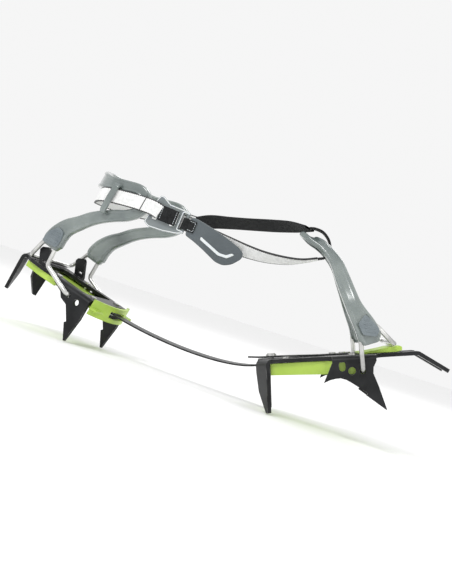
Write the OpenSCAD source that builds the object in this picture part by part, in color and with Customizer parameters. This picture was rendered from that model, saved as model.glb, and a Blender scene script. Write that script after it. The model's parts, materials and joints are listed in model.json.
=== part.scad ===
// Twelve-point strap-on crampon, in millimetres.
// The two steel sections stand on four points: the toe section with its nose up, the heel
// section with its back up, and a spring-steel link bar bowed between them by the strap.
// Each section is drawn in its own frame: +X to the toe, +Y to the far side, top of the
// sheet at Z = 0. toe_place() and heel_place() then stand it on the floor.

/* [Stance] */
// Nose-up tilt of the toe section, degrees
toe_pitch = 21; // [16:1:26]
// Back-up tilt of the heel section, degrees
heel_pitch = 14; // [9:1:18]
// Swing of the link bar and heel section about the lock pin, degrees
heel_yaw = 22; // [14:1:22]
// Level distance from the lock pin to the back of the heel section
pin_to_heel = 248; // [225:1:290]

/* [Sheet steel] */
// Thickness of the folded sheet
sheet_t = 3.2; // [2.5:0.1:4]
// Outer radius of a fold
fold_r = 5; // [4.5:0.5:7]

/* [Toe section] */
// Width over the two star plates
ball_w = 85.5; // [76:0.5:102]
// Drop of the rear spikes below the top sheet
toe_spike_h = 42.5; // [36:0.5:50]
// Distance from one rear spike's middle to the centre line
toe_spike_y = 22; // [21:0.5:26]
// Width of a rear spike at its fold
toe_spike_w = 20; // [14:0.5:21]
// Splay of the rear spikes, degrees
toe_splay = 25; // [15:1:30]
// Start of the star plates
star_x0 = 55.5; // [50:0.5:62]
// End of the star plates
star_x1 = 90; // [88:0.5:108]
// Place of the fold of the front points
point_bend_x = 125; // [118:1:150]
// Length of the front points past their fold
point_len = 28; // [20:1:34]
// Down-turn of the front points, degrees
point_drop = 34; // [20:1:40]
// Distance from one front point's middle to the centre line
point_y = 16.8; // [14:0.1:20]

/* [Toe bail] */
// Place of the bail's hole along the star plate
toe_eye_x = 79; // [76:0.5:82]
// Drop of that hole below the top sheet
toe_eye_z = 12.3; // [11:0.1:14]

/* [Link bar] */
// Width of the bar
bar_w = 15; // [12:0.5:15.5]
// Thickness of the bar
bar_t = 1.5; // [1.2:0.1:2]
// Place of the lock pin along the toe section
pin_x = 8; // [7:0.5:10]
// Diameter of the lock pin
pin_d = 4; // [3:0.1:4.4]
// Spacing of the adjusting holes
bar_pitch = 8; // [7:0.5:10]
// Length of bar past the lock pin
bar_nose = 36; // [30:1:38]

/* [Heel section] */
// Width over the two rails
heel_w = 66; // [60:0.5:76]
// Width over the two rails at the back
heel_back_w = 60; // [54:0.5:62]
// Length of the top sheet
heel_len = 87; // [84:0.5:100]
// Drop of the front spikes below the top sheet
heel_spike_h = 43.2; // [36:0.5:50]
// Drop of the rear spikes below the top sheet
heel_rear_spike_h = 37.5; // [32:0.5:44]
// Splay of the rear spikes, degrees
heel_splay = 23; // [15:1:28]
// Height of the heel stops above the top sheet
stop_h = 16.5; // [12:0.5:20]

/* [Heel bail] */
// Place of the bail's hole along the rail
heel_eye_x = 63; // [60:0.5:65]
// Drop of that hole below the top sheet
heel_eye_z = 7.6; // [7:0.1:9]

/* [Fit and wire] */
// Diameter of the bail wire
wire_d = 3.9; // [3:0.1:4.2]
// Gap on each side of a wire or pin in its hole
clear = 0.5; // [0.3:0.05:0.8]
// Gap between parts that pass each other
gap = 0.4; // [0.3:0.05:0.8]
// Wall of the green snow plates
snow_t = 2; // [1.5:0.1:3]

/* [Harness] */
// Width of the strap
strap_w = 13; // [11:0.5:15]
// Thickness of the strap
strap_t = 1.8; // [1.4:0.1:2.2]
// Backward lean of the toe section's far arm at half height
far_arm_lean = 4; // [0:0.5:5]
// Extra height of the strap at the front of the heel ring's far side
far_rise = 3.5; // [0:0.5:3.5]

/* [Hidden] */

steel_black = [0.16, 0.17, 0.17];
steel_bright = [0.74, 0.74, 0.70];
lime = [0.66, 0.80, 0.30];
grey_rubber = [0.52, 0.56, 0.55];
pale_grey = [0.68, 0.72, 0.74];
web_black = [0.12, 0.13, 0.13];
web_white = [0.93, 0.93, 0.92];

spring_t = 1.2;
guide_t = 1.2;
rivet_d = 5;
side = [-1, 1];
star_y = ball_w / 2 - sheet_t / 2;
rail_y = heel_w / 2 - sheet_t / 2;
back_y = heel_back_w / 2;
spike_x = -1;
heel_spike_x = -9;
heel_spike_y = 15.5;
heel_spike_w = 18;
wire_r = wire_d / 2;
arm_y = ball_w / 2 + wire_r + 1.6;
heel_arm_y = heel_w / 2 + wire_r + 1.6;
eye_d = wire_d + 2 * clear;
wire_bend = 3.8;

// --- frames -------------------------------------------------------------------------------
function turn_y(a, p) = [p.x * cos(a) + p.z * sin(a), p.y, p.z * cos(a) - p.x * sin(a)];
function turn_z(a, p) = [p.x * cos(a) - p.y * sin(a), p.x * sin(a) + p.y * cos(a), p.z];
function unit(v) = v / norm(v);
function mirror_y(p) = [p.x, -p.y, p.z];
function reverse(list) = [for (i = [len(list) - 1:-1:0]) list[i]];
function mid(a, b, k) = a + (b - a) * k;

// outer foot of a rear spike, which touches the floor
toe_foot = [spike_x + fold_r * (1 - cos(toe_splay)) + 0.22 * toe_spike_w * sin(toe_splay), 0,
  -toe_spike_h];
toe_rise = [0, 0, -turn_y(-toe_pitch, toe_foot).z];
heel_foot = [82.2, 0, -heel_spike_h];
bar_z = -sheet_t - guide_t - bar_t;
heel_bar_z = -sheet_t - gap - bar_t;
pin_top = [pin_x, 0, bar_z];
pin_spot = turn_y(-toe_pitch, pin_top) + toe_rise;
heel_rise = [pin_spot.x - pin_to_heel * cos(heel_yaw), pin_spot.y + pin_to_heel * sin(heel_yaw),
  -turn_y(heel_pitch, heel_foot).z];
function toe_raw(p) = turn_y(-toe_pitch, p) + toe_rise;
function heel_raw(p) = turn_z(-heel_yaw, turn_y(heel_pitch, p)) + heel_rise;

// the origin is under the middle of the whole crampon
point_tip = [point_bend_x + point_len * cos(point_drop) + sheet_t * sin(point_drop), 0,
  -point_len * sin(point_drop) - sheet_t * (1 - cos(point_drop))];
x_low = heel_raw([heel_spike_x + 1.94, -heel_spike_y - 5.6, -heel_rear_spike_h]).x;
x_high = toe_raw(point_tip).x;
y_low = -arm_y - 5.55;
y_high = heel_raw([16.5, heel_arm_y + 5.35, 20.4]).y;
centre = [(x_low + x_high) / 2, (y_low + y_high) / 2, 0];
function toe_at(p) = toe_raw(p) - centre;
function heel_at(p) = heel_raw(p) - centre;

module toe_place() {
  translate(toe_rise - centre) rotate([0, -toe_pitch, 0]) children();
}
module heel_place() {
  translate(heel_rise - centre) rotate([0, heel_pitch, -heel_yaw]) children();
}
module both_sides() {
  children();
  mirror([0, 1, 0]) children();
}

// --- shared shapes ------------------------------------------------------------------------
// Outline in X and Z, raised into a plate that is `t` thick from y towards +Y
module side_plate(y, t, outline) {
  translate([0, y + t, 0]) rotate([90, 0, 0]) linear_extrude(t) polygon(outline);
}

// Points along a wire that is bent to radius r at each corner of a list of points
function bent(points, r) = [for (i = [0:len(points) - 1])
  let (inner = i > 0 && i < len(points) - 1,
    into = inner ? unit(points[i] - points[i - 1]) : [1, 0, 0],
    out = inner ? unit(points[i + 1] - points[i]) : [1, 0, 0],
    turn = inner ? acos(into * out) : 0)
  each turn < 1 ? [points[i]]
    : let (inward = unit(out - into * (into * out)),
        hub = points[i] - into * r * tan(turn / 2) + inward * r, steps = ceil(turn / 18))
      [for (k = [0:steps]) let (a = turn * k / steps) hub - inward * r * cos(a) + into * r * sin(a)]];

// Direction of a path at its point k
function heading(path, k) = unit(path[min(k + 1, len(path) - 1)] - path[max(k - 1, 0)]);

// Rings of a round tube along a path. They turn with the path and never about it
function tube_rings(path, d) = [for (k = 0, side_way = unit(cross(heading(path, 0), [0.3, 0.2, 1]));
    k < len(path);
    k = k + 1, side_way = k < len(path)
      ? unit(side_way - heading(path, k) * (side_way * heading(path, k))) : side_way)
  let (other = cross(heading(path, k), side_way))
  [for (a = [330:-30:0]) path[k] + (side_way * cos(a) + other * sin(a)) * d / 2]];

module wire(points, d, r) {
  loft(tube_rings(bent(points, r), d));
}

// Closed solid through a row of rings that all have the same number of points
module loft(rings) {
  n = len(rings[0]);
  m = len(rings);
  polyhedron(points = [for (r = rings) each r],
    faces = concat([for (i = [1:n - 2]) [0, i + 1, i]],
      [for (k = [0:m - 2], i = [0:n - 1], h = [0, 1]) let (j = (i + 1) % n, a = k * n, b = a + n)
        h == 0 ? [a + i, b + j, b + i] : [a + i, a + j, b + j]],
      [for (i = [1:n - 2]) [(m - 1) * n, (m - 1) * n + i, (m - 1) * n + i + 1]]));
}

// Corners of a band's section, with its edges taken off by `soft` of its thickness
function band_corners(soft) = soft == 0 ? [[1, -1], [1, 1], [-1, 1], [-1, -1]]
  : [[1, soft - 1], [1, 1 - soft], [1 - soft / 2, 1], [soft / 2 - 1, 1],
     [-1, 1 - soft], [-1, soft - 1], [soft / 2 - 1, -1], [1 - soft / 2, -1]];

// Ring of a band at station k. Each station is [point, width, thickness, outward direction]
function band_ring(st, k, soft) =
  let (a = st[max(k - 1, 0)][0], b = st[min(k + 1, len(st) - 1)][0], d = unit(b - a),
    u = unit(cross(d, st[k][3])), v = cross(u, d))
  [for (c = band_corners(soft)) st[k][0] + u * c.x * st[k][1] / 2 + v * c.y * st[k][2] / 2];

module band(st, soft = 0) {
  loft([for (k = [0:len(st) - 1]) band_ring(st, k, soft)]);
}

// Spike blade in its own plane: y across from its inner to its outer edge, z up, x thickness
module spike_blade(w, h, t) {
  translate([t, 0, 0]) rotate([90, 0, -90]) linear_extrude(t) polygon([
    [w * 0.5, 0], [w * 0.5, -h * 0.15], [w * 0.36, -h * 0.55], [-w * 0.22, -h], [-w * 0.4, -h],
    [-w * 0.5, -h * 0.2], [-w * 0.5, 0]]);
}

// Quarter fold of the sheet along +Y: its top face at z = 0, turning down towards -X
module fold(w) {
  translate([0, w / 2, -fold_r]) rotate([90, 0, 0]) rotate([0, 0, 90])
    rotate_extrude(angle = 90, $fn = 48) polygon([[fold_r - sheet_t, 0],
      [fold_r, 0], [fold_r, w], [fold_r - sheet_t, w]]);
}

// Rear spike with its fold. The sheet runs forward from x = 0
module rear_spike(w, h) {
  fold(w);
  translate([-fold_r, 0, -fold_r]) spike_blade(w, h - fold_r, sheet_t);
}

// --- toe section --------------------------------------------------------------------------
star_edge_y = ball_w / 2 - fold_r;
toe_rivets = [for (s = side) each [[20, s * 22.5], [72, s * 27]]];
spring_rivets = [[58, 0], [66, 0]];

module toe_sheet_outline() {
  difference() {
    union() {
      for (s = side) polygon([
        [spike_x + fold_r * 0.6, 0], [spike_x - 2, s * (toe_spike_y - toe_spike_w * 0.46)],
        [spike_x + 9, s * (toe_spike_y + toe_spike_w * 0.42)], [30, s * 32],
        [star_x0 - 8, s * 34], [star_x0, s * star_edge_y], [star_x1, s * star_edge_y],
        [star_x1 + 1.5, s * (star_edge_y - 3)], [star_x1 + 5, s * (point_y + 9.5)],
        [star_x1 + 12, s * (point_y + 7.4)], [point_bend_x - 3, s * (point_y + 5.8)],
        [point_bend_x - 0.7, s * (point_y + 5.8)], [point_bend_x - 0.7, s * (point_y - 5.8)],
        [point_bend_x - 3, s * (point_y - 5.8)], [star_x1 + 14, s * (point_y - 7)],
        [star_x1 + 8, s * 6], [star_x1 + 6, 0]]);
    }
    // lightening windows each side of the middle web
    for (s = side) translate([38, s * 15]) offset(3, $fn = 24) square([20, 9], center = true);
    for (s = side) translate([82, s * 18]) offset(3, $fn = 24) square([8, 12], center = true);
  }
}

// Long fold that joins a star plate to the top sheet
module side_fold(x0, x1, y) {
  translate([x0, y - fold_r, -fold_r]) rotate([90, 0, 90]) linear_extrude(x1 - x0)
    intersection() {
      difference() {
        circle(r = fold_r, $fn = 48);
        circle(r = fold_r - sheet_t, $fn = 48);
      }
      square(fold_r);
    }
}

module star_plate() {
  z0 = -fold_r;
  difference() {
    side_plate(ball_w / 2 - sheet_t, sheet_t, [
      [star_x0, z0], [star_x0 - 7.3, -20.3], [star_x0 - 2.5, -18.4], [star_x0 + 2, -17.5],
      [star_x0 + 6, -17.3], [star_x0 + 10, -18.6], [star_x0 + 15, -21.8],
      [star_x0 + 20, -25.4], [star_x0 + 26.2, -30.2], [star_x0 + 25, -31.6],
      [star_x1 + 5.2, -43.6], [star_x1 + 5.9, -43.2], [star_x1 + 0.6, -25],
      [star_x1 - 3, -14.7], [star_x1 - 2.6, -10], [star_x1 - 0.8, -6.6], [star_x1, z0]]);
    translate([toe_eye_x, 0, -toe_eye_z]) rotate([-90, 0, 0])
      cylinder(h = ball_w, d = eye_d, $fn = 32);
    translate([70.6, 0, -12]) rotate([-90, 0, 0]) cylinder(h = ball_w, d = 6, $fn = 32);
    hull() for (z = [-6.8, -9.4]) translate([63.2, 0, z]) rotate([-90, 0, 0])
      cylinder(h = ball_w, d = 5.2, $fn = 32);
  }
}

module front_point() {
  w0 = 5.8;
  w1 = 2.2;
  lap = 1.5;
  taper = (w0 - w1) / point_len;
  dir = [cos(point_drop), -sin(point_drop)];
  fold = [for (a = [90 : -point_drop / 4 : 89.9 - point_drop]) sheet_t * [cos(a), sin(a)]];
  translate([point_bend_x, point_y, -sheet_t]) intersection() {
    rotate([90, 0, 0]) translate([0, 0, -w0]) linear_extrude(2 * w0)
      polygon(concat([[0, 0], [-lap, 0], [-lap, sheet_t]], fold,
        [fold[len(fold) - 1] + point_len * dir, point_len * dir]));
    rotate([0, point_drop, 0]) translate([0, 0, -3]) linear_extrude(sheet_t + 6)
      polygon([[-8, -w0 - 8 * taper], [point_len - 1, -w1], [point_len + 1, -w1 + 1.6],
        [point_len + 1, w1 - 1.6], [point_len - 1, w1], [-8, w0 + 8 * taper]]);
  }
}

module toe_frame() {
  color(steel_black) toe_place() difference() {
    union() {
      translate([0, 0, -sheet_t]) linear_extrude(sheet_t) toe_sheet_outline();
      both_sides() {
        side_fold(star_x0, star_x1, ball_w / 2);
        star_plate();
        front_point();
        translate([spike_x + fold_r, toe_spike_y, 0]) rotate([0, 0, -toe_splay])
          rear_spike(toe_spike_w, toe_spike_h);
      }
    }
    translate([pin_x, 0, -sheet_t - 1]) cylinder(h = sheet_t + 2, d = pin_d + 2 * clear, $fn = 32);
    for (p = concat(toe_rivets, spring_rivets)) translate([p.x, p.y, -sheet_t - 1])
      cylinder(h = sheet_t + 2, d = rivet_d - 2, $fn = 24);
  }
}

toe_tray_top = bar_z - gap - guide_t - gap;
tray_y = ball_w / 2 - sheet_t - gap;

module toe_snow_plate() {
  pad_top = 5.2;
  color(lime) toe_place() difference() {
    union() {
      translate([0, 0, toe_tray_top - snow_t]) linear_extrude(snow_t)
        polygon([[spike_x + 8, -28], [30, -29.5], [star_x0 - 4, -33], [star_x0 + 4, -tray_y],
          [star_x1 - 3, -tray_y], [star_x1 - 3, tray_y], [star_x0 + 4, tray_y],
          [star_x0 - 4, 33], [30, 29.5], [spike_x + 8, 28]]);
      both_sides() {
        // walls that stand down from the sheet and are seen below its edge
        loft([for (p = [[spike_x + 8, 27], [20, 28], [32, 28.8], [star_x0 - 4, 32.3],
            [star_x0 + 3, tray_y - snow_t / 2], [star_x1 - 4, tray_y - snow_t / 2]])
          let (low = -12.6 - p.x * 0.028) [[p.x, p.y - snow_t / 2, low],
            [p.x, p.y - snow_t / 2, -sheet_t - gap], [p.x, p.y + snow_t / 2, -sheet_t - gap],
            [p.x, p.y + snow_t / 2, low]]]);
      }
      // pad that comes up through the front windows and lies on the nose of the sheet
      for (s = side) translate([79, s * 18 - 4, toe_tray_top - snow_t / 2])
        cube([6, 8, 1 - toe_tray_top + snow_t / 2]);
      rotate([90, 0, 0]) translate([0, 0, -23]) linear_extrude(46) polygon([
        [78, gap], [78, 1.6], [84, 1.6], [star_x1 + 3, 3], [star_x1 + 12, 4.6],
        [star_x1 + 21, pad_top], [star_x1 + 22.5, pad_top - 1], [star_x1 + 22.5, 1.6],
        [star_x1 + 18, gap]]);
    }
    for (p = toe_rivets) translate([p.x, p.y, toe_tray_top - snow_t - 1])
      cylinder(h = snow_t + 2, d = rivet_d - 2, $fn = 24);
  }
}

module toe_plate_rivets() {
  color(steel_bright) toe_place() for (p = toe_rivets) translate([p.x, p.y, 0]) {
    low = toe_tray_top - snow_t;
    translate([0, 0, low]) cylinder(h = -low, d = rivet_d - 2, $fn = 24);
    cylinder(h = 1.2, d = rivet_d + 1, $fn = 24);
    translate([0, 0, low - 1.2]) cylinder(h = 1.2, d = rivet_d + 1, $fn = 24);
    translate([0, 0, toe_tray_top]) difference() {
      cylinder(h = -sheet_t - toe_tray_top, d = rivet_d, $fn = 24);
      translate([0, 0, -1]) cylinder(h = -toe_tray_top, d = rivet_d - 2.4, $fn = 24);
    }
  }
}

// --- length lock --------------------------------------------------------------------------
leaf_z = 0.8;
leaf_end = spike_x - 10;
leaf_front = 71;

module lock_spring() {
  color(steel_black) toe_place() difference() {
    translate([0, 7, 0]) rotate([90, 0, 0]) linear_extrude(14) polygon([
      [leaf_end, 1.6], [-2, leaf_z + 0.1], [2, leaf_z], [pin_x + 7, leaf_z], [48, 0],
      [leaf_front, 0], [leaf_front, spring_t], [48, spring_t], [pin_x + 7, leaf_z + spring_t],
      [2, leaf_z + spring_t], [-2, leaf_z + spring_t + 0.1], [leaf_end, 1.6 + spring_t]]);
    translate([pin_x, 0, -1]) cylinder(h = 6, d = pin_d, $fn = 32);
    for (p = spring_rivets) translate([p.x, p.y, -1]) cylinder(h = 6, d = rivet_d - 2, $fn = 24);
    // waist of the spring, so that it bends
    for (s = side) translate([38, s * 11, -1]) cylinder(h = 6, r = 6.4, $fn = 48);
  }
}

module lock_spring_rivets() {
  color(steel_bright) toe_place() for (p = spring_rivets) translate([p.x, p.y, -sheet_t - 1])
  {
    cylinder(h = sheet_t + 1 + spring_t, d = rivet_d - 2, $fn = 24);
    cylinder(h = 1, d = rivet_d, $fn = 24);
    translate([0, 0, sheet_t + 1 + spring_t]) cylinder(h = 1, d = rivet_d + 0.6, $fn = 24);
  }
}

module lock_pin() {
  low = bar_z - 0.3;
  color(steel_bright) toe_place() translate([pin_x, 0, 0]) {
    translate([0, 0, low]) cylinder(h = leaf_z + spring_t - low, d = pin_d, $fn = 32);
    translate([0, 0, leaf_z + spring_t]) cylinder(h = 1.4, d = pin_d + 4.5, $fn = 32);
    translate([0, 0, leaf_z + spring_t + 1.4]) cylinder(h = 0.8, d = pin_d + 2.5, $fn = 32);
  }
}

// --- link bar -----------------------------------------------------------------------------
bar_turn = atan(cos(toe_pitch) * tan(heel_yaw));
bar_side = bar_w / 2 + gap / 2;

module bar_guide() {
  floor_z = bar_z - gap - guide_t;
  color(steel_bright) toe_place() translate([pin_x, 0, 0]) rotate([0, 0, -bar_turn])
    difference() {
      translate([-6, -bar_side - guide_t, floor_z])
        cube([12, 2 * (bar_side + guide_t), -sheet_t - floor_z]);
      translate([-7, -bar_side, floor_z + guide_t]) cube([14, 2 * bar_side, bar_t + gap]);
      translate([0, 0, -20]) cylinder(h = 20, d = pin_d + 2 * clear, $fn = 32);
    }
}

bar_back = 15;
bar_dir = [cos(bar_turn), -sin(bar_turn), 0];
bar_mid_z = bar_z + bar_t / 2;
bow_a = toe_at([pin_x, 0, bar_mid_z] - bar_dir * bar_back);
bow_b = heel_at([heel_len + 4, 0, heel_bar_z + bar_t / 2]);
bow_da = -unit(toe_at(bar_dir) - toe_at([0, 0, 0]));
bow_db = unit(heel_at([1, 0, 0]) - heel_at([0, 0, 0]));
bow_na = unit(toe_at([0, 0, 1]) - toe_at([0, 0, 0]));
bow_nb = unit(heel_at([0, 0, 1]) - heel_at([0, 0, 0]));
bow_pull = 36;
function bow(k) = pow(1 - k, 3) * bow_a + 3 * k * pow(1 - k, 2) * (bow_a + bow_da * bow_pull)
  + 3 * k * k * (1 - k) * (bow_b + bow_db * bow_pull) + k * k * k * bow_b;

module link_bar() {
  n = 20;
  tail_x = 66;
  nose = [pin_x, 0, bar_mid_z];
  bar_mid = heel_bar_z + bar_t / 2;
  color(steel_black) difference() {
    union() {
      band(concat([[toe_at(nose + bar_dir * bar_nose), bar_w - 5, bar_t, bow_na],
          [toe_at(nose + bar_dir * (bar_nose - 3)), bar_w, bar_t, bow_na],
          [toe_at(nose - bar_dir * (bar_back - 2)), bar_w, bar_t, bow_na]],
        [for (k = [0:n]) [bow(k / n), bar_w, bar_t, unit(mid(bow_na, bow_nb, k / n))]],
        [[heel_at([heel_len + 2, 0, bar_mid]), bar_w, bar_t, bow_nb],
          [heel_at([tail_x, 0, bar_mid]), bar_w, bar_t, bow_nb]]));
      // cross head that stops the bar from leaving the heel section
      heel_place() translate([tail_x - 4, -bar_w / 2 - 4, heel_bar_z - 0.15])
        cube([8, bar_w + 8, bar_t + 0.3]);
    }
    toe_place() translate([pin_x, 0, bar_z]) rotate([0, 0, -bar_turn])
      for (k = [-1:3]) translate([k * bar_pitch, 0, -1])
        cylinder(h = bar_t + 2, d = pin_d + 2 * clear, $fn = 32);
  }
}

// --- bails --------------------------------------------------------------------------------
toe_wire_y = ball_w / 2 + wire_r + gap;
function toe_leg() = [[toe_eye_x, star_y - 1.5, -toe_eye_z], [toe_eye_x, toe_wire_y, -toe_eye_z],
  [toe_eye_x - 0.6, arm_y - 0.4, 12], [toe_eye_x + 1, arm_y, 25], [toe_eye_x + 9, arm_y, 25],
  [toe_eye_x + 15, arm_y - 0.5, 19], [star_x1 + 13, arm_y - 6, 8.8],
  [star_x1 + 15, arm_y - 10, 7.6]];

module toe_bail() {
  leg = toe_leg();
  color(steel_bright) toe_place() wire(concat(leg, reverse([for (p = leg) mirror_y(p)])), wire_d, wire_bend);
}

heel_wire_y = heel_w / 2 + wire_r + gap + 0.3;
function heel_leg() = [[heel_eye_x, rail_y - 1.5, -heel_eye_z],
  [heel_eye_x, heel_wire_y, -heel_eye_z], [31, heel_wire_y, 3.6], [30.5, heel_arm_y, 23],
  [29.5, heel_arm_y, 30.5], [19.5, heel_arm_y, 28.5], [14.6, heel_arm_y - 0.6, 17],
  [9.5, heel_arm_y - 3, 5], [7.5, heel_arm_y - 6, wire_r + gap]];

module heel_bail() {
  leg = heel_leg();
  color(steel_bright) heel_place()
    wire(concat(leg, reverse([for (p = leg) mirror_y(p)])), wire_d, wire_bend);
}

// --- toe harness --------------------------------------------------------------------------
function toe_arm() = [
  [[86.5, arm_y, 8.5], 13, 7, [0, 1, 0]], [[86, arm_y, 13], 18.5, 9, [0, 1, 0]],
  [[84.5, arm_y, 22], 17.5, 9, [0, 1, 0]], [[81, arm_y, 31], 15, 8.4, [0, 1, 0.1]],
  [[78, arm_y - 0.8, 39], 13, 7.4, [0, 1, 0.25]], [[75.5, arm_y - 5, 48], 12.5, 6.6, [0, 1, 0.4]],
  [[72, arm_y - 13, 60], 12, 6, [0, 1, 0.7]], [[67.5, arm_y - 23, 73], 10.5, 5.6, [0, 1, 0.9]],
  [[61, arm_y - 31, 83], 9.6, 5.4, [0.3, 1, 0.8]], [[54, arm_y - 36, 90.5], 9.5, 5.2, [0.6, 1, 0.5]],
  [[46.6, 5.4, 95.6], 11, 5.4, [1, 0.8, 0.8]], [[43.5, 1.2, 97.6], 13, 5.4, [0.8, 0.1, 1]]];

// The soft far arm leans back a little in the middle of its height
function far_lean(z) = z > 92 ? 0 : far_arm_lean * sin(180 * (z - 8.5) / 83.5);

module toe_basket() {
  arm = toe_arm();
  far = [for (s = reverse(arm))
    [mirror_y(s[0]) - [far_lean(s[0].z), 0, 0], s[1], s[2], mirror_y(s[3])]];
  color(grey_rubber) toe_place() band(concat(arm, far), 0.5);
}

module toe_arm_pads() {
  color(pale_grey) toe_place() both_sides() translate([0, arm_y + 4.55, 0])
    side_plate(0, 1, [[80, 15.5], [90.7, 13.6], [93.3, 19.5], [88, 26], [82.8, 31.7], [76.8, 24.3]]);
}

// --- heel section -------------------------------------------------------------------------
heel_rivets = [for (s = side) each [[40, s * (rail_y - 7.5)], [79.5, s * 20]]];
heel_fold0 = 44;
heel_fold1 = heel_len - 1.5;
heel_edge_y = heel_w / 2 - fold_r;

module heel_sheet_outline() {
  difference() {
    for (s = side) polygon([[1, 0], [heel_spike_x - 2, s * (heel_spike_y - heel_spike_w * 0.46)],
      [heel_spike_x + 6, s * (heel_spike_y + heel_spike_w * 0.42)], [9, s * back_y],
      [24, s * (back_y + 2.5)], [heel_fold0, s * heel_edge_y], [heel_fold1, s * heel_edge_y],
      [heel_len, s * (heel_edge_y - 1)], [heel_len, 0]]);
    offset(5, $fn = 32) polygon([[20, -14], [67, -17.5], [67, 17.5], [20, 14]]);
  }
}

module heel_flange() {
  difference() {
    side_plate(heel_w / 2 - sheet_t, sheet_t, [
      [heel_fold0, -fold_r], [heel_fold0 + 4, -6.4], [54.2, -9], [57.8, -13.5], [65.8, -15.9],
      [70, -21.6], [74.7, -28], [72.9, -29.6], [81.2, -heel_spike_h], [82.2, -heel_spike_h],
      [heel_fold1, -20], [heel_fold1, -fold_r]]);
    translate([heel_eye_x, 0, -heel_eye_z]) rotate([-90, 0, 0])
      cylinder(h = heel_w, d = eye_d, $fn = 32);
    translate([74, 0, -9.4]) rotate([-90, 0, 0]) cylinder(h = heel_w, d = 5.6, $fn = 32);
  }
}

// Stop that the boot's heel sits against. It leans back
module heel_stop() {
  difference() {
    side_plate(back_y + 1.4 - sheet_t, sheet_t, [[19, -sheet_t], [30, -sheet_t], [29.6, 1.5],
      [22.6, stop_h - 1], [20.6, stop_h + 0.6], [14.2, stop_h - 2], [12.9, stop_h - 5],
      [18.2, 1.5]]);
    side_plate(back_y - 4, 8, [[21.4, 3.4], [26.2, 3.4], [25.6, 4.8], [20.8, 4.8]]);
  }
}

module heel_frame() {
  color(steel_black) heel_place() difference() {
    union() {
      translate([0, 0, -sheet_t]) linear_extrude(sheet_t) heel_sheet_outline();
      both_sides() {
        side_fold(heel_fold0, heel_fold1, heel_w / 2);
        heel_flange();
        heel_stop();
        translate([heel_spike_x + fold_r, heel_spike_y, 0]) rotate([0, 0, -heel_splay])
          rear_spike(heel_spike_w, heel_rear_spike_h);
      }
    }
    for (p = heel_rivets) translate([p.x, p.y, -sheet_t - 1])
      cylinder(h = sheet_t + 2, d = rivet_d - 2, $fn = 24);
  }
}

heel_tray_top = heel_bar_z - gap;
fascia_x = heel_len + gap;

module heel_snow_plate() {
  color(lime) heel_place() difference() {
    union() {
      translate([0, 0, heel_tray_top - snow_t]) linear_extrude(snow_t) polygon([
        [5, -back_y + 5], [24, -back_y + 2], [heel_fold0, -heel_w / 2 + sheet_t + gap],
        [fascia_x + 3, -heel_w / 2 + sheet_t + gap], [fascia_x + 3, heel_w / 2 - sheet_t - gap],
        [heel_fold0, heel_w / 2 - sheet_t - gap], [24, back_y - 2], [5, back_y - 5]]);
      both_sides() loft([for (p = [[5, back_y - 4], [24, back_y - 1],
          [heel_fold0 - 1, heel_w / 2 - sheet_t - gap - 1]])
        [[p.x, p.y - 1, heel_tray_top - snow_t - 1.6], [p.x, p.y - 1, -sheet_t - gap],
          [p.x, p.y + 1, -sheet_t - gap], [p.x, p.y + 1, heel_tray_top - snow_t - 1.6]]]);
      // curved front that closes the nose of the section
      translate([0, 0, -12.5]) linear_extrude(14.5) intersection() {
        difference() {
          translate([fascia_x - 38, 0]) circle(r = 49, $fn = 96);
          translate([fascia_x - 38 - snow_t, 0]) circle(r = 48, $fn = 96);
        }
        translate([fascia_x, -heel_w / 2 + 1]) square([20, heel_w - 2]);
      }
      translate([fascia_x, -heel_w / 2 + 2, heel_tray_top - snow_t])
        cube([7.5, heel_w - 4, snow_t]);
    }
    translate([fascia_x - 1, -bar_w / 2 - 4, heel_tray_top - snow_t - 1])
      cube([16, bar_w + 8, snow_t + bar_t + 2 * gap + 2]);
    for (p = heel_rivets) translate([p.x, p.y, heel_tray_top - snow_t - 1])
      cylinder(h = snow_t + 2, d = rivet_d - 2, $fn = 24);
  }
}

module heel_plate_rivets() {
  low = heel_tray_top - snow_t;
  color(steel_bright) heel_place() for (p = heel_rivets) translate([p.x, p.y, 0]) {
    translate([0, 0, low]) cylinder(h = -low, d = rivet_d - 2, $fn = 24);
    cylinder(h = 1.2, d = rivet_d + 1, $fn = 24);
    translate([0, 0, low - 1.2]) cylinder(h = 1.2, d = rivet_d + 1, $fn = 24);
  }
}

// Grey clip that carries the bar in the nose of the heel section
module bar_clip() {
  low = heel_bar_z - gap / 2 - 1.6;
  color(pale_grey) heel_place() difference() {
    translate([fascia_x + 0.6, 0, low]) linear_extrude(-low - sheet_t + 1.6) hull() for (s = side)
      translate([3, s * (bar_w / 2 + 1.4)]) circle(d = 3.8, $fn = 24);
    translate([fascia_x - 1, -bar_w / 2 - gap / 2, low + 1.6])
      cube([9, bar_w + gap, bar_t + gap]);
  }
}

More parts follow.
